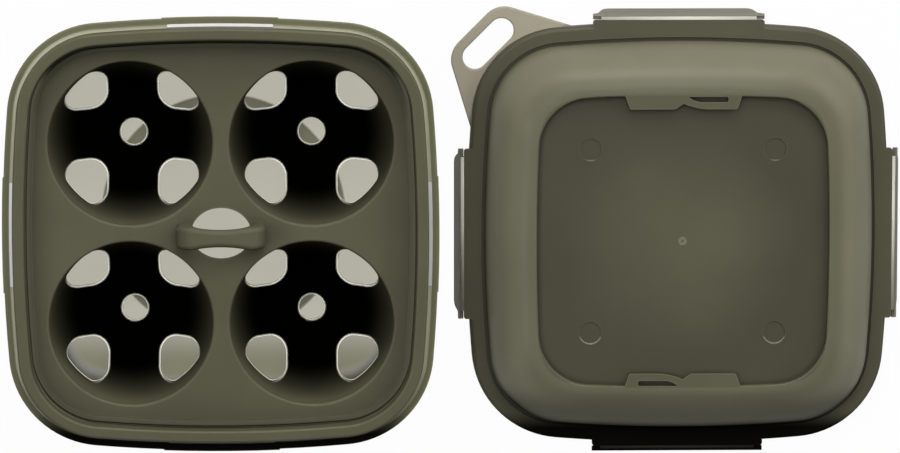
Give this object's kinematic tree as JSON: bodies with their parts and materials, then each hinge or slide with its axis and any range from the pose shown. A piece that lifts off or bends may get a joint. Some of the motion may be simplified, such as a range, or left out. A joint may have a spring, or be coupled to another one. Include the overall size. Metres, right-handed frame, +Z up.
{
  "type": "egg carrier",
  "caption": "Small square carrier for eggs: a tub with a lift-out cup tray, and a domed lid with hinged side clips and a hanging loop, shown taken off.",
  "frame": {"origin": "centre of the tub's foot, on the surface that it stands on", "axes": "+Z up, +X from the tub towards the lid beside it, +Y towards the back of both"},
  "size_m": [0.2528, 0.1286, 0.062],
  "materials": {
    "clear_olive_tub": "translucent satin",
    "olive_tray": "satin",
    "clear_olive_lid": "translucent satin",
    "clear_olive_clip": "translucent satin"
  },
  "bodies": {
    "box": {"base_tub": "clear_olive_tub", "egg_tray": "olive_tray", "lid": "clear_olive_lid"},
    "clip_back": {"clip_back": "clear_olive_clip"},
    "clip_left": {"clip_left": "clear_olive_clip"},
    "clip_front": {"clip_front": "clear_olive_clip"},
    "clip_right": {"clip_right": "clear_olive_clip"}
  },
  "joints": [
    {"name": "clip_back_hinge", "type": "hinge", "parent": "box", "child": "clip_back", "pos_m": [0.1291, 0.056, 0.0084], "axis": [1, 0, 0], "range_deg": [0, 110]},
    {"name": "clip_left_hinge", "type": "hinge", "parent": "box", "child": "clip_left", "pos_m": [0.0682, -0.0049, 0.0084], "axis": [0, 1, 0], "range_deg": [0, 110]},
    {"name": "clip_front_hinge", "type": "hinge", "parent": "box", "child": "clip_front", "pos_m": [0.1291, -0.0658, 0.0084], "axis": [-1, 0, 0], "range_deg": [0, 110]},
    {"name": "clip_right_hinge", "type": "hinge", "parent": "box", "child": "clip_right", "pos_m": [0.19, -0.0049, 0.0084], "axis": [0, -1, 0], "range_deg": [0, 110]}
  ]
}
